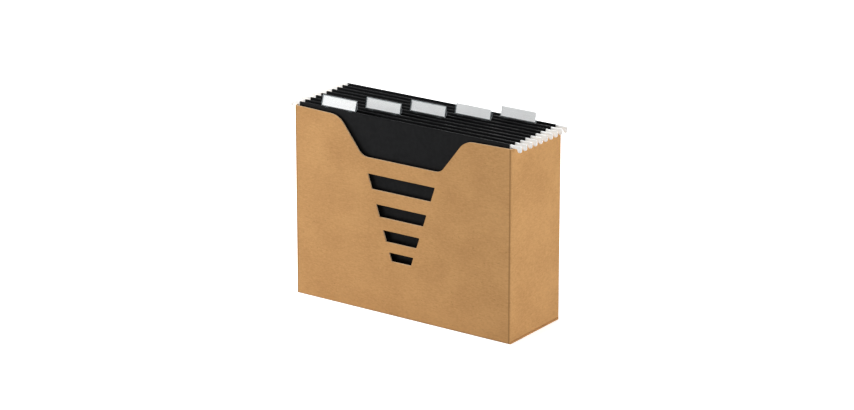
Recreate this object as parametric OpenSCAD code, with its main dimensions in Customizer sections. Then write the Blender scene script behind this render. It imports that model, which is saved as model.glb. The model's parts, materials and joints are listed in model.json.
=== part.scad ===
// Desktop box of folded kraft board that carries hanging files.
// X runs along the front, Y from the front to the back, Z up. Z = 0 is the surface it stands on,
// and the origin is the middle of the box there. All sizes are millimetres.

/* [Carton] */
// Width over the outside of the two side walls
box_w = 333; // [320:1:400]
// Depth from the front wall's face to the back wall's face
box_d = 112; // [108:1:140]
// Height of the side walls, which carry the hooks
box_h = 254; // [250:1:300]
// Thickness of the kraft board
board_t = 2; // [1.5:0.1:2.5]
// Radius inside the board's folded corners
inner_r = 0.3; // [0.2:0.1:1]
// Width of the flap that glues the back wall to the left wall
lap_w = 25; // [15:1:40]

/* [Front notch] */
// Depth of the notch below the top of the box
notch_depth = 49.4; // [35:0.1:60]
// Width of the notch along its floor, before the corners are rounded
notch_floor_w = 120.4; // [90:0.1:140]
// Steepness of the notch's sides, from level
notch_angle = 52.5; // [45:0.5:75]
// How far the top edge falls from the box's corner to the notch
edge_fall = 1.8; // [0.5:0.1:3]
// Radius of the notch's two upper corners
shoulder_r = 25; // [5:0.5:30]
// Radius of the notch's two lower corners
notch_r = 17; // [5:0.5:20]

/* [Front slots] */
// Heights of the four slots, from the top one down
slot_heights = [20, 16.5, 15, 11.8]; // [8:0.1:24]
// Board left above each slot, from the notch down
slot_gaps = [20.9, 18.5, 16.1, 13]; // [8:0.1:24]
// Width of the lowest slot's lower edge
slot_end_w = 30.5; // [20:0.5:36]
// Steepness of the slots' ends, from level
slot_angle = 71.6; // [68:0.1:80]
// Radius of the slots' corners
slot_r = 1; // [0.5:0.1:2]

/* [Files] */
// Number of files, each with two bars
file_count = 5; // [3:1:5]
// Height of a file from its bottom fold to the top of its bars
file_h = 239; // [225:0.5:245]
// How far the bars stand above the side walls
bar_rise = 5; // [4:0.1:6]
// Thickness of the files' black card
card_t = 0.4; // [0.3:0.05:0.5]
// Distance from a side wall's middle to the end of the card
card_end_in = 4.5; // [4:0.1:8]
// Distance from the front and back walls' insides to the middles of the end bars
end_gap = 2.7; // [2.2:0.1:4]
// Height of the steel strip in each bar
rail_h = 12; // [8:0.5:13]
// Thickness of the steel strip in each bar
rail_t = 0.8; // [0.6:0.1:1]

/* [Hooks] */
// Thickness of the plastic hooks
hook_t = 1.6; // [1.5:0.1:2]
// Space between a hook's arm and the wall under it
hook_gap = 0.35; // [0.3:0.05:1]
// Distance from a side wall's middle to the lip inside it
lip_in = 2.5; // [2:0.1:3.5]
// Distance from a side wall's middle to the prong outside it
prong_out = 6.5; // [5:0.1:8]
// Width of the prong
prong_w = 6.2; // [5:0.1:8]
// How far the lip and the prong hang below the arm
hook_drop = 4.2; // [4.1:0.1:6]

/* [Tabs and labels] */
// Width of a clear tab
tab_w = 53; // [50:0.5:60]
// Height of a clear tab
tab_h = 14; // [12:0.5:18]
// Distance along X from one file's tab to the next one's
tab_pitch = 53; // [40:0.5:55]
// Place of the middle tab along X
tab_mid = 5.5; // [-10:0.5:10]
// How far a tab leans back from its bar
tab_lean = 14; // [0:1:20]
// Extra lean of the foremost tab
first_tab_lean = 6; // [0:1:8]
// Thickness of the clear plastic
tab_t = 0.45; // [0.4:0.05:0.6]
// How far a tab's back leaf bulges
tab_bulge = 2.6; // [1:0.1:3]
// Thickness of the label card
label_t = 0.3; // [0.2:0.05:0.35]

/* [Hidden] */
$fn = 64;
// A cut runs this far past what it cuts
over = 1;
// Space between two layers of the same folded board
layer_gap = 0.2;
// Clear space between pieces that move past each other
slip = 0.3;
// The notch's and the slots' round corners turn by steps of at most this angle
arc_step = 7.5;

// Carton
fold_r = inner_r + board_t;
wall_in_x = box_w / 2 - board_t;
wall_in_y = box_d / 2 - board_t;
lap_low = 8;
lap_high = box_h - 18;
seam_x = -wall_in_x + layer_gap;
side_foot = board_t + layer_gap;
side_flap_len = wall_in_y - 1;
side_flap_taper = 14;
flap_seam = 0.5;

// Notch, as a half outline on the front wall
notch_z = box_h - notch_depth;
notch_side = [cos(notch_angle), sin(notch_angle)];
notch_corner = [notch_floor_w / 2, notch_z];
shoulder = notch_corner + notch_side * (notch_depth - edge_fall) / notch_side[1];
edge_dir = [box_w / 2 - shoulder[0], box_h - shoulder[1]];

// Files: where they hang, then heights and thicknesses in the frame of one leaf
crease_z = box_h + bar_rise - file_h;
bar_pitch = (box_d - 2 * board_t - 2 * end_gap) / (2 * file_count - 1);
half_lean = asin(bar_pitch / 2 / file_h);
bar_r = hook_t / 2 + card_t;
bar_bend_z = file_h - bar_r;
rail_top = file_h - 2;
rail_low = rail_top - rail_h;
flap_knee_z = rail_low - 1.2;
flap_slant = 3;
flap_glue = 8;

// Hooks, along the bar and upwards
wall_x = box_w / 2 - board_t / 2;
card_half = wall_x - card_end_in;
rail_half = card_half - 4;
hook_root_x = card_half - 15;
hook_lip_x = wall_x - lip_in;
hook_throat_x = wall_x + prong_out;
hook_tip_x = hook_throat_x + prong_w;
hook_top = file_h - 0.3;
hook_arm_z = (box_h + hook_gap - crease_z) / cos(half_lean);
hook_low = hook_arm_z - hook_drop;
hook_corner_r = 1.6;
hook_fillet_r = 1.2;
hook_root_low = rail_low - 0.6;

// Tabs, in a tab's own frame: its base is the front leaf's lower edge
tab_base = [-hook_t / 2, file_h + 0.6];
tab_pocket = tab_t + label_t + 2 * slip + 0.05;
tab_cap_r = (tab_pocket + tab_t) / 2;
tab_steps = 14;
tab_stop_w = 0.5;
label_end_in = 0.8;
tab_leg_w = 8;
tab_leg_x = 18;
tab_leg_len = 8;
tab_leg_t = (hook_t - rail_t) / 2;
label_x0 = -tab_w / 2 + tab_stop_w + slip;
label_x1 = tab_w / 2 - label_end_in;
label_z0 = tab_t + slip;
label_z1 = tab_h - tab_t - slip - 0.1;

HALVES = ["front", "back"];
PIECES = ["card", "rail", "hooks"];
FILE_NODES = [
    for (i = [1:file_count], h = HALVES, p = PIECES) str("file_", i, "_", h, "_", p),
    for (i = [1:file_count], p = ["tab", "label"]) str("file_", i, "_", p)
];

function file_y(i) = (i - (file_count + 1) / 2) * 2 * bar_pitch;
function tab_x(i) = tab_mid + (i - (file_count + 1) / 2) * tab_pitch;
function lean_of_tab(i) = tab_lean + (i == 1 ? first_tab_lean : 0);
function unit(v) = v / norm(v);
function sum_to(list, n) = n < 1 ? 0 : list[n - 1] + sum_to(list, n - 1);
function slot_top(k) = notch_z - sum_to(slot_gaps, k + 1) - sum_to(slot_heights, k);
function slot_low(k) = slot_top(k) - slot_heights[k];
function slot_half(z) = slot_end_w / 2 + (z - slot_low(3)) / tan(slot_angle);
function tab_back_y(t) = tab_pocket + tab_bulge * sin(180 * pow(t, 1.6));
function tab_back_z(t) = (tab_h - tab_cap_r) * (1 - t);

// The points of a corner at v rounded to radius r, on a way that comes from back and leaves to ahead
function round_corner(v, back, ahead, r) =
    let (
        a = unit(back),
        b = unit(ahead),
        half_angle = acos(a * b) / 2,
        centre = v + unit(a + b) * r / sin(half_angle),
        start = v + a * r / tan(half_angle) - centre,
        turn = (180 - 2 * half_angle) * sign(cross(-a, b)),
        steps = ceil(abs(turn) / arc_step)
    )
    [for (k = [0:steps]) centre + turned(start, turn * k / steps)];
function turned(v, angle) = [v[0] * cos(angle) - v[1] * sin(angle), v[0] * sin(angle) + v[1] * cos(angle)];

// A right half outline, and the same points mirrored on the way back
function both_sides(right) =
    concat(right, [for (k = [len(right) - 1:-1:0]) [-right[k][0], right[k][1]]]);

// ---- helpers ----

// Extrudes a section drawn as (Y, Z) along X, centred
module along_x(length) {
    rotate([90, 0, 90]) linear_extrude(length, center = true) children();
}

// Extrudes an outline drawn as (X, Z) along Y, from y0 to y0 + depth
module along_y(y0, depth) {
    translate([0, y0 + depth, 0]) rotate([90, 0, 0]) linear_extrude(depth) children();
}

// The sliver between a square corner at v, whose sides run towards (sx, sy), and an arc of radius r
module corner_sliver(v, sx, sy, r) {
    difference() {
        translate([min(v[0], v[0] + sx * r), min(v[1], v[1] + sy * r)]) square(r);
        translate([v[0] + sx * r, v[1] + sy * r]) circle(r);
    }
}

module mirrored_x() {
    children();
    mirror([1, 0, 0]) children();
}

// ---- carton: one blank, folded and glued ----

// The walls seen from above, with three folded corners. At the back left one the two walls end
// beside each other, and the back wall's end is rounded where its flap folds.
module wall_plan() {
    x = box_w / 2;
    y = box_d / 2;
    difference() {
        square([box_w, box_d], center = true);
        corner_sliver([-x, -y], 1, 1, fold_r);
        corner_sliver([x, -y], -1, 1, fold_r);
        corner_sliver([x, y], -1, -1, fold_r);
        corner_sliver([seam_x, y], 1, -1, fold_r);
        translate([-wall_in_x, wall_in_y - over]) square([layer_gap, board_t + 2 * over]);
        difference() {
            square([2 * wall_in_x, 2 * wall_in_y], center = true);
            corner_sliver([-wall_in_x, -wall_in_y], 1, 1, inner_r);
            corner_sliver([wall_in_x, -wall_in_y], -1, 1, inner_r);
            corner_sliver([wall_in_x, wall_in_y], -1, -1, inner_r);
        }
    }
}

// The glue flap goes on from the back wall, round the corner, and lies inside the left wall
module lap_plan() {
    bend = [seam_x + fold_r, box_d / 2 - fold_r];
    translate([seam_x, wall_in_y - lap_w]) square([board_t, bend[1] - wall_in_y + lap_w]);
    difference() {
        translate([seam_x, bend[1]]) square([fold_r + board_t, fold_r]);
        translate(bend) circle(inner_r);
        translate(bend) square([board_t + over, inner_r]);
        corner_sliver([seam_x, box_d / 2], 1, -1, fold_r);
    }
}

// The box's outline with its lower edges folded; used for both upright directions
module folded_foot(width, foot_z) {
    difference() {
        translate([-width / 2, foot_z]) square([width, box_h - foot_z]);
        corner_sliver([-width / 2, foot_z], 1, 1, fold_r);
        corner_sliver([width / 2, foot_z], -1, 1, fold_r);
    }
}

// What is cut away from the front wall's top: the notch and the gentle fall towards it
module notch_outline() {
    polygon(both_sides(concat(
        round_corner(notch_corner, [-1, 0], notch_side, notch_r),
        round_corner(shoulder, -notch_side, edge_dir, shoulder_r),
        [[box_w / 2, box_h], [box_w / 2, box_h + over]]
    )));
}

module slot_outline(k) {
    low = [slot_half(slot_low(k)), slot_low(k)];
    top = [slot_half(slot_top(k)), slot_top(k)];
    polygon(both_sides(concat(
        round_corner(low, [-1, 0], top - low, slot_r),
        round_corner(top, low - top, [-1, 0], slot_r)
    )));
}

module walls() {
    difference() {
        intersection() {
            linear_extrude(box_h) wall_plan();
            along_x(box_w + over) folded_foot(box_d, 0);
            union() {
                along_y(-box_d, 2 * box_d) folded_foot(box_w, side_foot);
                mirror([0, 1, 0]) end_wall_feet();
                end_wall_feet();
            }
        }
        along_y(-box_d / 2 - over, board_t + 2 * over) notch_outline();
        for (k = [0:3]) along_y(-box_d / 2 - over, board_t + 2 * over) slot_outline(k);
    }
}

// The front and back walls reach the floor, between the side walls' folded feet
module end_wall_feet() {
    translate([-box_w / 2 + layer_gap, -box_d / 2, 0])
        cube([box_w - 2 * layer_gap, board_t, fold_r + side_foot]);
}

// A bottom flap of the front or back wall, which lies outside the side flaps
module long_flap() {
    translate([-box_w / 2 + layer_gap, -wall_in_y - board_t / 2, 0])
        cube([box_w - 2 * layer_gap, wall_in_y + board_t / 2 - flap_seam / 2, board_t]);
}

// A bottom flap of a side wall, tapered so that it clears the folds
module side_flap() {
    x1 = wall_in_x + board_t / 2;
    x0 = wall_in_x - side_flap_len;
    y1 = wall_in_y - layer_gap;
    translate([0, 0, side_foot]) linear_extrude(board_t) polygon([
        [x1, -y1], [x1, y1], [wall_in_x, y1], [x0, y1 - side_flap_taper],
        [x0, -y1 + side_flap_taper], [wall_in_x, -y1]
    ]);
}

module carton() {
    color("burlywood") {
        walls();
        long_flap();
        mirror([0, 1, 0]) long_flap();
        mirrored_x() side_flap();
        translate([0, 0, lap_low]) linear_extrude(lap_high - lap_low) lap_plan();
    }
}

// ---- files ----

// A file's two halves lean apart from its bottom fold. The back half is the front one mirrored.
module front_half(i) {
    translate([0, file_y(i), crease_z]) rotate([half_lean, 0, 0]) children();
}

module back_half(i) {
    translate([0, file_y(i), crease_z]) rotate([-half_lean, 0, 0]) mirror([0, 1, 0]) children();
}

module half(i, which) {
    if (which == "front") front_half(i) children();
    if (which == "back") back_half(i) children();
}

// A trough of card round the X axis, closed downwards, with its walls going up by rise
module bend_section(rise) {
    difference() {
        union() {
            circle(bar_r);
            translate([-bar_r, 0]) square([2 * bar_r, rise]);
        }
        circle(bar_r - card_t);
        translate([card_t - bar_r, 0]) square([2 * (bar_r - card_t), rise + over]);
    }
}

// The card from low up its leaf, over the steel strip and down to where it is glued to itself
module card_section(low) {
    flap_in = bar_r - card_t;
    glue_top = flap_knee_z - flap_slant;
    translate([-bar_r, low]) square([card_t, flap_knee_z + over - low]);
    translate([0, bar_bend_z]) mirror([0, 1]) bend_section(bar_bend_z - flap_knee_z);
    polygon([
        [flap_in, flap_knee_z + over], [flap_in, flap_knee_z], [card_t - bar_r, glue_top],
        [card_t / 2 - bar_r, glue_top], [card_t / 2 - bar_r, glue_top - flap_glue],
        [2 * card_t - bar_r, glue_top - flap_glue], [2 * card_t - bar_r, glue_top],
        [bar_r, flap_knee_z], [bar_r, flap_knee_z + over]
    ]);
}

// The front card has the bottom fold, and two slits in its top for the tab's legs
module front_card(i) {
    slit_w = tab_leg_w + 2 * slip;
    front_half(i) difference() {
        along_x(2 * card_half) {
            card_section(0);
            difference() {
                bend_section(over);
                square([bar_r + over, 2 * over]);
            }
        }
        for (s = [-1, 1]) translate([tab_x(i) + s * tab_leg_x - slit_w / 2, -bar_r - over, bar_bend_z])
            cube([slit_w, over + bar_r - rail_t / 2, bar_r + over]);
    }
}

module back_card(i) {
    back_half(i) along_x(2 * card_half) card_section(slip);
}

module rail() {
    translate([-rail_half, -rail_t / 2, rail_low]) cube([2 * rail_half, rail_t, rail_h]);
}

// A hook seen from the front, at the right end of a bar
module hook_outline() {
    prong_r = prong_w / 2;
    translate([hook_root_x, hook_root_low])
        square([card_half - hook_root_x, bar_bend_z - hook_root_low]);
    difference() {
        translate([card_half, hook_arm_z]) square([hook_tip_x - card_half, hook_top - hook_arm_z]);
        corner_sliver([hook_tip_x, hook_top], -1, -1, hook_corner_r);
    }
    translate([card_half, hook_low]) square([hook_lip_x - card_half, hook_top - hook_low]);
    translate([hook_throat_x, hook_low + prong_r])
        square([prong_w, hook_arm_z - hook_low - prong_r]);
    translate([hook_throat_x + prong_r, hook_low + prong_r]) circle(prong_r);
    corner_sliver([hook_throat_x, hook_arm_z], -1, -1, hook_fillet_r);
}

// Two hooks, one at each end of a strip, with a slot in each root that the strip's end fills
module hook_pair() {
    mirrored_x() difference() {
        along_y(-hook_t / 2, hook_t) hook_outline();
        rail();
    }
}

// A tab's walls seen from its end: a straight front leaf, a rounded top and a bulging back leaf
module tab_section() {
    outer = [for (k = [0:tab_steps]) [tab_back_y(k / tab_steps) + tab_t, tab_back_z(k / tab_steps)]];
    inner = [for (k = [tab_steps:-1:0]) [tab_back_y(k / tab_steps), tab_back_z(k / tab_steps)]];
    square([tab_t, tab_h - tab_cap_r]);
    square([tab_pocket + tab_t, tab_t]);
    polygon(concat(inner, outer));
    translate([tab_cap_r, tab_h - tab_cap_r]) intersection() {
        difference() {
            circle(tab_cap_r);
            circle(tab_cap_r - tab_t);
        }
        translate([-tab_cap_r, 0]) square([2 * tab_cap_r, tab_cap_r]);
    }
}

// From a half's frame to a tab's own frame
module tab_place(i) {
    translate([tab_x(i), tab_base[0], tab_base[1]]) rotate([-lean_of_tab(i), 0, 0]) children();
}

module tab(i) {
    front_half(i) {
        tab_place(i) {
            along_x(tab_w) tab_section();
            translate([-tab_w / 2, tab_t / 2, tab_t / 2])
                cube([tab_stop_w, tab_pocket - tab_t / 2, tab_h - tab_cap_r - tab_t]);
        }
        for (s = [-1, 1])
            translate([tab_x(i) + s * tab_leg_x - tab_leg_w / 2, tab_base[0], tab_base[1] - tab_leg_len])
                cube([tab_leg_w, tab_leg_t, tab_leg_len + tab_t]);
    }
}

module label(i) {
    front_half(i) tab_place(i) translate([label_x0, tab_t + slip, label_z0])
        cube([label_x1 - label_x0, label_t, label_z1 - label_z0]);
}

// ---- nodes ----

carton();
for (i = [1:file_count]) {
    color("#26282b") front_card(i);
    color("#26282b") back_card(i);
    for (h = HALVES) {
        color("silver") half(i, h) rail();
        color("white") half(i, h) hook_pair();
    }
    color("azure", 0.4) tab(i);
    color("whitesmoke") label(i);
}
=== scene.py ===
# %% [markdown]
# # A kraft board box with hanging files
# This lesson dresses a finished construction. The box, its files, hooks, tabs and labels come from
# the frame at their real places and sizes. We give each surface the finish of the real thing:
# brown kraft board, matt black card, milky plastic, clear film and white label card.
# Everything is in metres, and nothing that the frame holds is moved.

# %% Load the frame
import math
import json

import bpy
import bmesh
from mathutils import Matrix, Vector

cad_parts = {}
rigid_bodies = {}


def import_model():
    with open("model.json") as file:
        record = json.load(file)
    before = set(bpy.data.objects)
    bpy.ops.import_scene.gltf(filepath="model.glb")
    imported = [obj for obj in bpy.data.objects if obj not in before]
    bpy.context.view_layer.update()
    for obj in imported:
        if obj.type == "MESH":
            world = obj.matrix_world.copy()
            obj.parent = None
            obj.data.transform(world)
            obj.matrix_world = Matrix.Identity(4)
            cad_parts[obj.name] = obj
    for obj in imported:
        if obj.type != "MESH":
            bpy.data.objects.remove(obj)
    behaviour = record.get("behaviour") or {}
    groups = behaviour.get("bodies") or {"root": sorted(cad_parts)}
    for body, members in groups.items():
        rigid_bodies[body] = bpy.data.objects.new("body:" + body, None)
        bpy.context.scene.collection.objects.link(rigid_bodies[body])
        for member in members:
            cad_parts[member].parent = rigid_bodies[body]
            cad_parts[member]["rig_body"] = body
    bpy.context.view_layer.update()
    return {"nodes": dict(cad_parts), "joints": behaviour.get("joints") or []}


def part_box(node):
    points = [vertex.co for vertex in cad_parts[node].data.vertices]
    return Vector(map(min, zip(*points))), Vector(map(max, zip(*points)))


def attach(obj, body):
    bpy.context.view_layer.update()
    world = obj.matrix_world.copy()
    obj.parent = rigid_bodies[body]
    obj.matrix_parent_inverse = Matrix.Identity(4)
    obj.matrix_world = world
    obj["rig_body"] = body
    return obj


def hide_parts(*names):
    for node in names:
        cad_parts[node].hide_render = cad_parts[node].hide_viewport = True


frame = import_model()
nodes = frame["nodes"]
mm = 0.001
file_count = sum(name.endswith("_tab") for name in nodes)
FILES = range(1, file_count + 1)

# %% [markdown]
# ## The view
# The camera looks down on the front right corner through a long lens, from about four metres. We
# give its place by two angles and a distance from a point in the middle of the box, as a
# photographer would, and work the lens out from how many pixels wide the picture should be.

# %% The camera
picture_width, picture_height = 854, 410
view_azimuth = math.radians(35.18)
view_elevation = math.radians(18.356)
view_distance = 4.019
lens_pixels = 3159
aim_x, aim_z = 0.7 * mm, 136.3 * mm

sight = Vector((
    math.sin(view_azimuth) * math.cos(view_elevation),
    -math.cos(view_azimuth) * math.cos(view_elevation),
    math.sin(view_elevation),
))
camera_data = bpy.data.cameras.new("view")
camera_data.sensor_width = 36
camera_data.lens = lens_pixels / picture_width * camera_data.sensor_width
camera_data.clip_end = 100
camera = bpy.data.objects.new("view", camera_data)
camera.location = Vector((aim_x, 0, aim_z)) + sight * view_distance
camera.rotation_euler = (math.pi / 2 - view_elevation, 0, view_azimuth)
bpy.context.scene.collection.objects.link(camera)
bpy.context.scene.camera = camera
bpy.context.scene.view_settings.view_transform = "Standard"
print(f"camera at {[round(v, 3) for v in camera.location]}, lens {camera_data.lens:.1f} mm")

# %% [markdown]
# ## Arithmetic with sockets
# A finish is a small calculation: grain times strength, plus a tint, and so on. Written as nodes
# and links, that is long and hard to read. The class below wraps one output socket, and each
# operator on it adds the node that does the sum, so a finish reads like a formula.

# %% A socket that can be added and multiplied
class Wire:
    """A node's output. Operators add Math nodes, or Vector Math where the output is a vector."""

    def __init__(self, socket):
        self.socket = socket
        self.tree = socket.id_data

    def node(self, kind, settings=None, sockets=None, out=0):
        """Adds a node: its settings first, then a value or a wire for each socket named."""
        new = self.tree.nodes.new("ShaderNode" + kind)
        for name, value in (settings or {}).items():
            if name == "stops":
                ramp = new.color_ramp.elements
                while len(ramp) < len(value):
                    ramp.new(0.5)
                for stop, (place, shade) in zip(ramp, value):
                    stop.position = place
                    stop.color = (*shade, 1) if isinstance(shade, tuple) else (shade, shade, shade, 1)
            else:
                setattr(new, name, value)
        for name, value in (sockets or {}).items():
            if isinstance(value, Wire):
                self.tree.links.new(value.socket, new.inputs[name])
            elif value is not None:
                new.inputs[name].default_value = value
        return Wire(new.outputs[out])

    def sum(self, operation, *values):
        """One Math or Vector Math node on this wire and the values."""
        kind = "VectorMath" if self.socket.type == "VECTOR" else "Math"
        if kind == "VectorMath" and operation in ("ADD", "SUBTRACT", "MULTIPLY"):
            values = [v if isinstance(v, (Wire, tuple)) else (v, v, v) for v in values]
        sockets = {place: value for place, value in enumerate((self, *values))}
        return self.node(kind, {"operation": operation}, sockets)

    def __add__(self, other):
        return self.sum("ADD", other)

    __radd__ = __add__

    def __mul__(self, other):
        return self.sum("MULTIPLY", other)

    __rmul__ = __mul__

    def __sub__(self, other):
        return self.sum("SUBTRACT", other)

    def __rsub__(self, other):
        return self * -1 + other

    def absolute(self):
        return self.sum("ABSOLUTE")

    def most(self, other):
        return self.sum("MAXIMUM", other)

    def rise(self, low, high):
        """0 below low, 1 above high, and a smooth rise between them. Falls if low is above high."""
        settings = {"interpolation_type": "SMOOTHSTEP", "clamp": True}
        if low > high:
            return 1 - self.rise(high, low)
        return self.node("MapRange", settings, {"Value": self, "From Min": low, "From Max": high})

    def blend(self, first, second):
        """A mix of two colours, with this wire as the share of the second."""
        shades = [v if isinstance(v, Wire) else (*v, 1) for v in (first, second)]
        return self.node("Mix", {"data_type": "RGBA"}, {0: self, 6: shades[0], 7: shades[1]}, out=2)

    def axis(self, name):
        """The X, Y or Z part of a vector."""
        return self.node("SeparateXYZ", sockets={0: self}, out="XYZ".index(name))

    def noise(self, size, detail=2, stretch=(1, 1, 1), roughness=0.5):
        """Noise from 0 to 1 whose lumps are about size metres across, drawn out along an axis."""
        place = self.node("Mapping", sockets={"Vector": self, "Scale": tuple(1 / s for s in stretch)})
        sockets = {"Vector": place, "Scale": 1 / size, "Detail": detail, "Roughness": roughness}
        return place.node("TexNoise", sockets=sockets)


def new_finish(name):
    """A material with one Principled shader. Returns it, the shader, and its Object coordinates."""
    material = bpy.data.materials.new(name)
    material.use_nodes = True
    shader = material.node_tree.nodes["Principled BSDF"]
    place = Wire(material.node_tree.nodes.new("ShaderNodeTexCoord").outputs["Object"])
    return material, shader, place


def connect(shader, **sockets):
    """Puts values or wires into the shader's sockets, named with _ for a space."""
    for name, value in sockets.items():
        socket = shader.inputs[name.replace("_", " ")]
        if isinstance(value, Wire):
            shader.id_data.links.new(value.socket, socket)
        else:
            socket.default_value = value


def bumped(height, depth, strength=1.0):
    """The Normal that a height from 0 to 1 gives when 1 stands depth metres proud."""
    return height.node("Bump", sockets={"Height": height, "Distance": depth, "Strength": strength}, out=0)


# %% [markdown]
# ## Kraft board
# Kraft is unbleached paper. Close up it has short fibres that lie mostly along the machine's
# direction, a few darker specks of bark, and a soft cloudiness where the pulp lay thicker. We build
# it from four sizes of noise. Beside each corner, on the front and the back, a thin darker brown
# line of painted shade stands for the shade in the fold's crease. The cut edges show the board's
# paler, rougher core.

# %% The kraft finish
score_in = 2.2 * mm
crease_shade_outer, crease_shade_inner, crease_shade_edge = 1.2 * mm, 1.4 * mm, 0.4 * mm
fold_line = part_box("carton")[1][0] - score_in


def kraft_finish():
    material, shader, place = new_finish("kraft_board")
    cloud = place.noise(0.045, detail=3)
    mottle = place.noise(0.004, detail=3, roughness=0.6)
    fibres = place.noise(0.0012, detail=4, stretch=(5, 5, 1), roughness=0.65)
    specks = place.noise(0.0016, detail=1, stretch=(2, 2, 1)).rise(0.70, 0.78)
    pulp = place.noise(0.0022, detail=3, stretch=(1.6, 1.6, 1), roughness=0.6)
    tone = cloud * 0.4 + mottle * 0.25 + pulp * 0.3 + fibres * 0.5 - 0.215
    brown = tone.rise(0.2, 0.8).blend((0.474, 0.245, 0.089), (0.656, 0.365, 0.146))
    brown = (specks * 0.4).blend(brown, (0.25, 0.125, 0.045))
    # Painted shade: a thin darker brown band just inside each fold line stands for the shade in the
    # crease.
    along = place.axis("X").absolute()
    crease_shade = along.rise(fold_line - crease_shade_inner, fold_line - crease_shade_edge)
    crease_shade = crease_shade * along.rise(fold_line + crease_shade_outer, fold_line)
    brown = (crease_shade * 0.7).blend(brown, (0.29, 0.145, 0.050))
    grain = fibres * 0.45 + pulp * 0.35 + mottle * 0.2
    connect(shader, Base_Color=brown, Roughness=0.82 + fibres * 0.12, Normal=bumped(grain, 0.00010, 0.6))
    connect(shader, Specular_IOR_Level=0.25)
    return material


def core_finish():
    material, shader, place = new_finish("board_core")
    pulp = place.noise(0.0007, detail=3, roughness=0.6)
    pale = pulp.rise(0.25, 0.75).blend((0.60, 0.40, 0.22), (0.76, 0.56, 0.36))
    connect(shader, Base_Color=pale, Roughness=0.9, Normal=bumped(pulp, 0.0001, 0.6))
    connect(shader, Specular_IOR_Level=0.15)
    return material


# %% [markdown]
# ## The files' card, the strips and the hooks
# The files are dyed black card with a slight sheen, so light that grazes it shows as grey. The strips
# are drawn steel. The hooks are moulded in a milky plastic that lets a little light through.

# %% Black card, steel and white plastic
def card_finish():
    material, shader, place = new_finish("black_card")
    mottle = place.noise(0.006, detail=4, roughness=0.6)
    tooth = place.noise(0.0005, detail=3, roughness=0.6)
    grey = mottle.rise(0.25, 0.75).blend((0.0058, 0.0060, 0.0066), (0.0096, 0.0099, 0.0107))
    connect(shader, Base_Color=grey, Roughness=0.30 + tooth * 0.12, Normal=bumped(tooth, 0.00005, 0.5))
    connect(shader, Specular_IOR_Level=0.05)
    return material


def steel_finish():
    material, shader, place = new_finish("strip_steel")
    drawn = place.noise(0.0006, detail=3, stretch=(60, 1, 1))
    steel = drawn.rise(0.3, 0.7).blend((0.42, 0.43, 0.45), (0.60, 0.61, 0.62))
    connect(shader, Base_Color=steel, Roughness=0.28 + drawn * 0.2, Metallic=1.0)
    connect(shader, Normal=bumped(drawn, 0.00003, 0.4))
    return material


def nylon_finish():
    material, shader, place = new_finish("white_nylon")
    flow = place.noise(0.003, detail=2)
    white = flow.rise(0.2, 0.8).blend((0.91, 0.93, 0.91), (0.95, 0.965, 0.95))
    connect(shader, Base_Color=white, Roughness=0.30 + flow * 0.12, Normal=bumped(flow, 0.00006, 0.3))
    connect(shader, Subsurface_Weight=0.6, Subsurface_Scale=0.002, Subsurface_Radius=(1, 1, 1))
    return material


# %% [markdown]
# ## Tabs and labels
# A tab is thin clear film, so it shows mostly by its gloss and by its bluish edges. A true glass
# shader needs many bounces and much light to read well in so thin a wall. A mostly transparent
# surface with a sharp gloss looks the same and renders cleanly.

# %% Clear film and label card
def film_finish():
    material, shader, place = new_finish("clear_plastic")
    haze = place.noise(0.008, detail=2)
    connect(shader, Base_Color=haze.rise(0.3, 0.7).blend((0.70, 0.80, 0.84), (0.82, 0.88, 0.90)))
    connect(shader, Alpha=0.04 + haze * 0.03, Roughness=0.08 + haze * 0.05)
    return material


# Painted highlight: the film's cut rims and the top of its fold get a paler, less clear colour for the
# light they catch.
def rim_highlight_finish():
    material, shader, place = new_finish("film_rim")
    haze = place.noise(0.004, detail=2)
    connect(shader, Base_Color=haze.rise(0.3, 0.7).blend((0.80, 0.90, 0.93), (0.90, 0.96, 0.98)))
    connect(shader, Alpha=0.5 + haze * 0.3, Roughness=0.15 + haze * 0.1)
    return material


def label_finish():
    material, shader, place = new_finish("label_card")
    tooth = place.noise(0.0008, detail=3)
    streaks = place.noise(0.0012, detail=3, stretch=(30, 1, 1), roughness=0.6)
    white = (tooth * 0.35 + streaks * 0.65).rise(0.3, 0.7).blend((0.88, 0.88, 0.875), (0.95, 0.95, 0.95))
    connect(shader, Base_Color=white, Roughness=0.7 + tooth * 0.15, Normal=bumped(tooth, 0.00003, 0.4))
    return material


FINISHES = {
    "carton": kraft_finish(),
    "card": card_finish(),
    "rail": steel_finish(),
    "hooks": nylon_finish(),
    "tab": film_finish(),
    "label": label_finish(),
}
for name, node in nodes.items():
    node.data.materials.clear()
    node.data.materials.append(FINISHES[name.split("_")[-1]])
print(f"{len(FINISHES)} finishes on {len(nodes)} nodes")

# %% [markdown]
# ## Working by hand, in code
# The operators that a modeller clicks on work on what is selected, so each step starts by clearing
# the selection and then picks faces or edges by their place. Lengths below are in millimetres, as
# on a drawing, and turn into metres as they are used.

# %% Picking, adding and finishing
def only(piece):
    """Makes piece the one selected and active object."""
    bpy.ops.object.select_all(action="DESELECT")
    piece.select_set(True)
    bpy.context.view_layer.objects.active = piece


def pick(piece, test, kind="faces"):
    """In edit mode, selects the faces, edges or verts whose middle passes the test, and counts them."""
    modes = {"faces": "FACE", "edges": "EDGE", "verts": "VERT"}
    bpy.ops.mesh.select_all(action="DESELECT")
    bpy.ops.mesh.select_mode(type=modes[kind])
    mesh = bmesh.from_edit_mesh(piece.data)
    count = 0
    for part in getattr(mesh, kind):
        points = [part] if kind == "verts" else part.verts
        middle = sum((v.co for v in points), Vector()) / len(points)
        normal = part.normal if kind != "edges" else Vector()
        if test(middle / mm, normal):
            part.select_set(True)
            count += 1
    mesh.select_flush_mode()
    bmesh.update_edit_mesh(piece.data)
    return count


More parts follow.
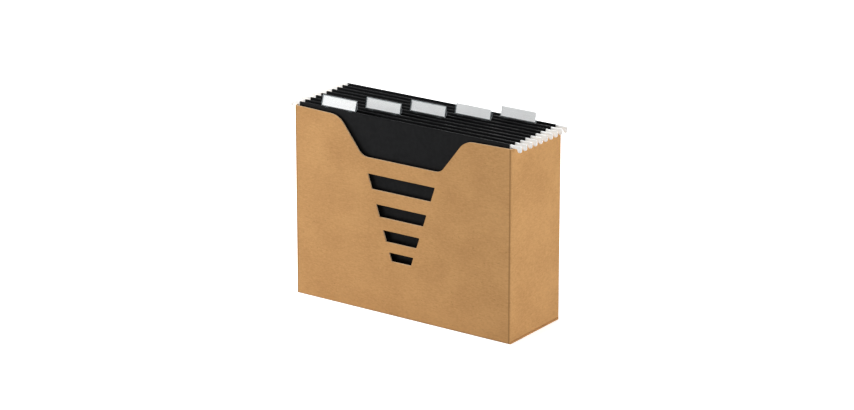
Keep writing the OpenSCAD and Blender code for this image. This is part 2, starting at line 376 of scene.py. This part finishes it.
def plate(name, width, depth, middle, facing="Z"):
    """A new flat rectangle: its two sides in mm, the place of its middle, and the axis it faces."""
    bpy.ops.object.select_all(action="DESELECT")
    turn = {"Z": (0, 0, 0), "Y": (math.pi / 2, 0, 0)}[facing]
    bpy.ops.mesh.primitive_plane_add(size=1, location=Vector(middle) * mm, rotation=turn)
    piece = bpy.context.object
    piece.name = piece.data.name = name
    piece.scale = (width * mm, depth * mm, 1)
    bpy.ops.object.transform_apply(location=True, rotation=True, scale=True)
    return piece


def pull(x=0, y=0, z=0):
    """Extrudes the selection by this many mm."""
    move = {"value": (x * mm, y * mm, z * mm)}
    bpy.ops.mesh.extrude_region_move(TRANSFORM_OT_translate=move)


def modify(piece, kind, **settings):
    """Adds a modifier and applies it."""
    only(piece)
    modifier = piece.modifiers.new(kind, kind)
    for name, value in settings.items():
        setattr(modifier, name, value)
    bpy.ops.object.modifier_apply(modifier=modifier.name)


def soften(piece, width, angle, segments=2):
    """Rounds every edge sharper than angle to a bevel of width mm."""
    modify(piece, "BEVEL", width=width * mm, segments=segments, limit_method="ANGLE",
           angle_limit=math.radians(angle))


def smooth(piece):
    """Shades across edges that turn by less than 35 degrees."""
    only(piece)
    bpy.ops.object.shade_smooth_by_angle(angle=math.radians(35))


def copied(piece, name):
    """A copy with a mesh of its own."""
    twin = piece.copy()
    twin.data = piece.data.copy()
    twin.name = twin.data.name = name
    bpy.context.scene.collection.objects.link(twin)
    return twin


def stand_in(piece, node):
    """The piece takes the node's place: it rides on the same body, and the node is hidden."""
    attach(piece, nodes[node]["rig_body"])
    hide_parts(node)
    low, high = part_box(node)
    corners = [Vector(v.co) for v in piece.data.vertices]
    reach = [max(abs(f(c[a] for c in corners) - end[a]) for f, end in ((min, low), (max, high)))
             for a in range(3)]
    return max(reach) / mm


# %% [markdown]
# ## The carton
# The carton is one blank of board, die-cut, folded and glued. The frame already holds its walls,
# flaps and seams as one exact solid, so we start from a copy of that. Its mesh is loose triangles:
# we merge them, dissolve what lies in one plane, and are left with the faces that a modeller would
# have drawn. A die crushes the board a little where it cuts, so the cut edges get a fine bevel.
# They also show the core, the paler grey pulp between the two smooth liners, so we pick those
# faces by their place and give them a finish of their own.

# %% The carton's mesh
board = 2.0
cut_bevel = 0.22
same_plane, sharp_edge = 0.5, 40
carton = copied(nodes["carton"], "carton_board")
carton.parent = None
for tag in list(carton.keys()):
    del carton[tag]
only(carton)
bpy.ops.object.mode_set(mode="EDIT")
bpy.ops.mesh.select_all(action="SELECT")
bpy.ops.mesh.remove_doubles(threshold=0.001 * mm)
bpy.ops.mesh.dissolve_limited(angle_limit=math.radians(same_plane))
bpy.ops.object.mode_set(mode="OBJECT")
print(f"carton: {len(nodes['carton'].data.polygons)} triangles became {len(carton.data.polygons)} faces")
soften(carton, cut_bevel, sharp_edge)

# %% Its cut edges
box_low, box_high = (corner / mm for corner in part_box("carton"))
front_face = box_low[1]
carton.data.materials.append(core_finish())
carton.active_material_index = 1


def is_cut(middle, normal):
    """Faces across the board's thickness: along the top, and round the notch and the slots."""
    in_front = middle[1] < front_face + board
    side_on = abs(normal[1]) < 0.8
    off_corners = abs(middle[0]) < box_high[0] - 2 * board and middle[2] > 10 * board
    round_opening = in_front and side_on and off_corners
    along_top = normal[2] > 0.6 and middle[2] > box_high[2] - board
    return round_opening or along_top


bpy.ops.object.mode_set(mode="EDIT")
cut_faces = pick(carton, is_cut)
bpy.ops.object.material_slot_assign()
bpy.ops.object.mode_set(mode="OBJECT")
print(f"{cut_faces} faces show the core; off by {stand_in(carton, 'carton'):.3f} mm")

# %% [markdown]
# ## The hooks
# A hanging file's hook is injection moulded: a flat bar about as thick as the sleeve, with a
# throat that drops over the rail and a round-nosed prong outside it. Mouldings have no sharp
# edges, so light runs along them as a fine bright line. We draw one hook as a flat shape, by
# extruding a rectangle's edges outwards, then thicken and round it. Its root steps down inside the
# sleeve and carries a slot for the steel strip. Its mirror image makes the pair, and every bar
# gets a copy that is leant and placed as its file leans.

# %% One hook, drawn flat
hook_thick = 1.6
card_half = 161.0
lip_x, throat_x, tip_x = 163.0, 172.0, 178.2
root_x, root_low, root_top = 146.0, 224.4, 237.8
arm_low, hook_top, prong_low = 234.416, 238.7, 230.216
hook_round = 0.32
prong_round, tip_round, throat_round, lip_round = 3.05, 1.6, 1.2, 0.5
root_step = 0.3
strip_end, strip_low, strip_top, strip_thick = 157.0, 225.0, 237.0, 0.8
strip_shown = 20.0


def outline_corner(piece, x, z, radius, segments):
    """Rounds one corner of a flat drawing."""
    pick(piece, lambda middle, normal: math.hypot(middle[0] - x, middle[2] - z) < 0.05, "verts")
    bpy.ops.mesh.bevel(offset=radius * mm, segments=segments, profile=0.5, affect="VERTICES")


def draw_hook():
    """The hook at the right end of a bar, in the frame of an upright leaf."""
    neck = (card_half + root_step + lip_x) / 2
    hook = plate("hook", lip_x - card_half - root_step, hook_top - arm_low,
                 (neck, 0, (hook_top + arm_low) / 2), facing="Y")
    bpy.ops.object.mode_set(mode="EDIT")
    pick(hook, lambda middle, normal: middle[0] > lip_x - 0.1, "edges")
    pull(x=throat_x - lip_x)
    pull(x=tip_x - throat_x)
    pick(hook, lambda middle, normal: middle[0] > throat_x + 1 and middle[2] < arm_low + 0.1, "edges")
    pull(z=prong_low - arm_low)
    pick(hook, lambda middle, normal: middle[0] < lip_x - 0.1 and middle[2] < arm_low + 0.1, "edges")
    pull(z=prong_low - arm_low)
    pick(hook, lambda middle, normal: middle[0] < card_half + root_step + 0.1, "edges")
    pull(x=-root_step)
    pick(hook, lambda middle, normal: middle[0] < card_half + 0.1 and middle[2] > hook_top - 0.1, "verts")
    bpy.ops.transform.translate(value=(0, 0, (root_top - hook_top) * mm))
    pick(hook, lambda middle, normal: middle[0] < card_half + 0.1 and middle[2] < prong_low + 0.1, "verts")
    bpy.ops.transform.translate(value=(0, 0, (root_low - prong_low) * mm))
    pick(hook, lambda middle, normal: middle[0] < card_half + 0.1, "edges")
    pull(x=root_x - card_half)
    bpy.ops.mesh.select_all(action="SELECT")
    bpy.ops.mesh.dissolve_limited(angle_limit=math.radians(1))
    outline_corner(hook, throat_x, prong_low, prong_round, 8)
    outline_corner(hook, tip_x, prong_low, prong_round, 8)
    outline_corner(hook, tip_x, hook_top, tip_round, 5)
    outline_corner(hook, throat_x, arm_low, throat_round, 4)
    outline_corner(hook, lip_x, prong_low, lip_round, 3)
    bpy.ops.object.mode_set(mode="OBJECT")
    return hook


hook = draw_hook()
print(f"the hook's outline has {len(hook.data.vertices)} points")

# %% Thickness, rounding, the strip's slot and the mirror image
modify(hook, "SOLIDIFY", thickness=hook_thick * mm, offset=0)
soften(hook, hook_round, sharp_edge, segments=3)
smooth(hook)
slot_block = plate("slot_block", strip_shown, strip_top - strip_low,
                   (strip_end - strip_shown / 2, 0, (strip_low + strip_top) / 2), facing="Y")
modify(slot_block, "SOLIDIFY", thickness=strip_thick * mm, offset=0)
modify(hook, "BOOLEAN", operation="DIFFERENCE", object=slot_block)
bpy.data.objects.remove(slot_block)
modify(hook, "MIRROR", use_axis=(True, False, False))
hook.data.materials.append(FINISHES["hooks"])
print(f"a pair of hooks has {len(hook.data.polygons)} faces")

# %% A pair for every bar
bar_pitch = 11.4
file_high = 239.0
leaf_lean = math.asin(bar_pitch / 2 / file_high)
folds = {j["child"][:6]: Vector(j["pos_m"]) for j in frame["joints"] if j["name"].endswith("_open")}


def leaf_frame(i, side):
    """From the frame of an upright leaf to where file i's front (-1) or back (1) leaf hangs."""
    turn = Matrix.Rotation(-side * leaf_lean, 4, "X")
    return Matrix.Translation(folds[f"file_{i}"]) @ turn


def hang(piece, matrix):
    """Moves the piece there and applies it, so that its object stays at the origin."""
    piece.matrix_world = matrix
    only(piece)
    bpy.ops.object.transform_apply(location=True, rotation=True, scale=True)


worst = 0
for i in FILES:
    for half, side in (("front", -1), ("back", 1)):
        pair = copied(hook, f"hooks_{i}_{half}")
        hang(pair, leaf_frame(i, side))
        worst = max(worst, stand_in(pair, f"file_{i}_{half}_hooks"))
bpy.data.objects.remove(hook)
print(f"{2 * file_count} pairs of hooks, off by {worst:.3f} mm at most")

# %% [markdown]
# ## The tabs
# A tab is one strip of clear film, heat-formed to a flat pocket: a straight front leaf, a tight
# round fold at the top, and a back leaf that springs out in a soft bulge. We draw the front leaf,
# spin its top edge over the fold, and go on down the back in short steps along the bulge. Its cut
# rims and the top of its fold get a second, paler and less clear finish: a painted highlight for
# the light that the film catches there. Two legs below hook into slits in the file's sleeve, and a
# small stop at the left end keeps the label from sliding out that way.

# %% One tab
tab_wide, tab_high, film_thick = 53.0, 14.0, 0.45
pocket_deep, bulge, bulge_skew = 1.4, 2.6, 1.6
fold_radius = (pocket_deep + film_thick) / 2
leaf_high = tab_high - fold_radius
back_steps, fold_steps = 16, 10
stop_wide = 0.5
stop_x = (stop_wide - tab_wide) / 2
stop_deep = pocket_deep - 0.2
stop_y = film_thick + pocket_deep / 2 - 0.3


def draw_tab():
    """The tab in its own frame: x along it, y backwards from its front face, z up from its base."""
    tab = plate("tab", tab_wide, leaf_high, (0, 0, leaf_high / 2), facing="Y")
    bpy.ops.object.mode_set(mode="EDIT")
    pick(tab, lambda middle, normal: middle[2] > leaf_high - 0.1, "edges")
    centre = (0, fold_radius * mm, leaf_high * mm)
    bpy.ops.mesh.spin(steps=fold_steps, angle=math.pi, center=centre, axis=(1, 0, 0))
    pick(tab, lambda middle, normal: middle[1] > 2 * fold_radius - 0.01, "edges")

    def back_at(share):
        bulged = 2 * fold_radius + bulge * math.sin(math.pi * share ** bulge_skew)
        return bulged, leaf_high * (1 - share)

    for step in range(back_steps):
        y, z = back_at(step / back_steps)
        next_y, next_z = back_at((step + 1) / back_steps)
        pull(y=next_y - y, z=next_z - z)
    pull(y=-2 * fold_radius)
    bpy.ops.mesh.select_all(action="SELECT")
    bpy.ops.mesh.remove_doubles(threshold=0.01 * mm)
    bpy.ops.mesh.normals_make_consistent(inside=False)
    bpy.ops.object.mode_set(mode="OBJECT")
    modify(tab, "SOLIDIFY", thickness=film_thick * mm, offset=-1, use_even_offset=True)
    tab.data.materials.append(FINISHES["tab"])
    tab.data.materials.append(rim_highlight_finish())
    tab.active_material_index = 1
    bpy.ops.object.mode_set(mode="EDIT")
    # The rims and the fold's top are picked here for the painted highlight finish.
    highlit_rims = pick(tab, lambda middle, normal: abs(normal[0]) > 0.9 or middle[2] > tab_high - film_thick)
    bpy.ops.object.material_slot_assign()
    bpy.ops.object.mode_set(mode="OBJECT")
    smooth(tab)
    print(f"a tab has {len(tab.data.polygons)} faces, {highlit_rims} of them rim or fold")
    return tab


def small_block(name, wide, deep, high, middle):
    """A short solid strip, such as a leg or a stop."""
    block = plate(name, wide, high, middle, facing="Y")
    modify(block, "SOLIDIFY", thickness=deep * mm, offset=0)
    block.data.materials.append(FINISHES["tab"])
    return block


tab = draw_tab()

# %% A tab for every file
tab_mid, tab_pitch = 5.5, 53.0
sleeve_front, tab_base = -0.8, 239.6
first_lean, other_lean = 20, 14
leg_x, leg_wide, leg_long, leg_thick = 18.0, 8.0, 8.45, 0.4
worst = 0
for i in FILES:
    along = tab_mid + (i - (file_count + 1) / 2) * tab_pitch
    lean = math.radians(first_lean if i == 1 else other_lean)
    film = copied(tab, f"tab_{i}")
    stop = small_block("stop", stop_wide, stop_deep, leaf_high - film_thick,
                       (stop_x, stop_y, leaf_high / 2))
    foot = Vector((along, sleeve_front, tab_base)) * mm
    tilt = Matrix.Translation(foot) @ Matrix.Rotation(-lean, 4, "X")
    hang(film, tilt)
    hang(stop, tilt)
    leg_y, leg_z = sleeve_front + leg_thick / 2, tab_base + film_thick - leg_long / 2
    legs = [
        small_block("leg", leg_wide, leg_thick, leg_long, (along + end * leg_x, leg_y, leg_z))
        for end in (-1, 1)
    ]
    only(film)
    for part in (stop, *legs):
        part.select_set(True)
    bpy.ops.object.join()
    hang(film, leaf_frame(i, -1))
    worst = max(worst, stand_in(film, f"file_{i}_tab"))
bpy.data.objects.remove(tab)
print(f"{file_count} tabs, off by {worst:.3f} mm at most")

# %% [markdown]
# ## The floor and the light
# The picture has a white surround. We don't pour more light on the scene for that, because it would
# bleach the box. Instead the floor glows and the world is white only for rays from the camera, or by
# way of a gloss or clear film, and what lights the box is set apart. Under its glow the floor is
# plain and pale: it throws the lamps' light back up the box as a table would, and it keeps the
# box's shadow.

# %% The floor
def seen_directly(tree):
    """1 for rays from the camera, or by way of a gloss or glass, and 0 for the light's own."""
    path = tree.nodes.new("ShaderNodeLightPath")
    camera_ray, glossy, through = (
        Wire(path.outputs[name])
        for name in ("Is Camera Ray", "Is Glossy Ray", "Is Transmission Ray")
    )
    return camera_ray.most(glossy).most(through)


floor_half = 30
floor_shade = 0.8
glow_near, glow_far = 0.6, 1.0
glow_from, glow_to = 0.25, 0.9
bpy.ops.mesh.primitive_plane_add(size=2 * floor_half, location=(0, 0, 0))
floor = bpy.context.object
floor.name = "floor"
floor_material = bpy.data.materials.new("floor")
floor_material.use_nodes = True
floor_shader = floor_material.node_tree.nodes["Principled BSDF"]
connect(floor_shader, Base_Color=(floor_shade, floor_shade, floor_shade, 1), Roughness=0.9)
floor_place = Wire(floor_material.node_tree.nodes.new("ShaderNodeTexCoord").outputs["Object"])
from_box = floor_place.node("VectorMath", {"operation": "LENGTH"}, {0: floor_place}, out=1)
glow = from_box.rise(glow_from, glow_to).blend((glow_near,) * 3, (glow_far,) * 3)
connect(floor_shader, Specular_IOR_Level=0.0, Emission_Color=glow)
connect(floor_shader, Emission_Strength=seen_directly(floor_material.node_tree))
floor.data.materials.append(floor_material)
print(f"a floor {2 * floor_half} m wide")

# %% The world and the lamps
world = bpy.data.worlds.new("studio")
world.use_nodes = True
bpy.context.scene.world = world
background = world.node_tree.nodes["Background"]
world_light = 0.1
seen = seen_directly(world.node_tree)
background.inputs["Color"].default_value = (1, 1, 1, 1)
world.node_tree.links.new((world_light + seen * (1 - world_light)).socket, background.inputs["Strength"])


def softbox(name, place, target, size, power):
    """A square lamp at place that faces target. Its size is in metres and its power in watts."""
    data = bpy.data.lights.new(name, "AREA")
    data.shape = "SQUARE"
    data.size = size
    data.energy = power
    lamp = bpy.data.objects.new(name, data)
    lamp.location = place
    lamp.rotation_euler = (Vector(target) - Vector(place)).to_track_quat("-Z", "Y").to_euler()
    bpy.context.scene.collection.objects.link(lamp)


box_middle = Vector((0, 0, 0.13))
LAMPS = [
    ("left_box", (-1.4, -0.42, 0.7), 0.3, 26),
    ("top_box", (0.2, -1.0, 1.9), 1.0, 14),
    ("right_box", (1.8, 0.1, 0.35), 0.8, 17),
    ("high_back_box", (0.1, 0.5, 1.7), 1.0, 4),
    ("back_box", (-0.6, 1.8, 0.9), 1.0, 18),
]
for name, place, size, power in LAMPS:
    softbox(name, place, box_middle, size, power)
print(f"{len(LAMPS)} lamps, {sum(lamp[-1] for lamp in LAMPS)} W in all")
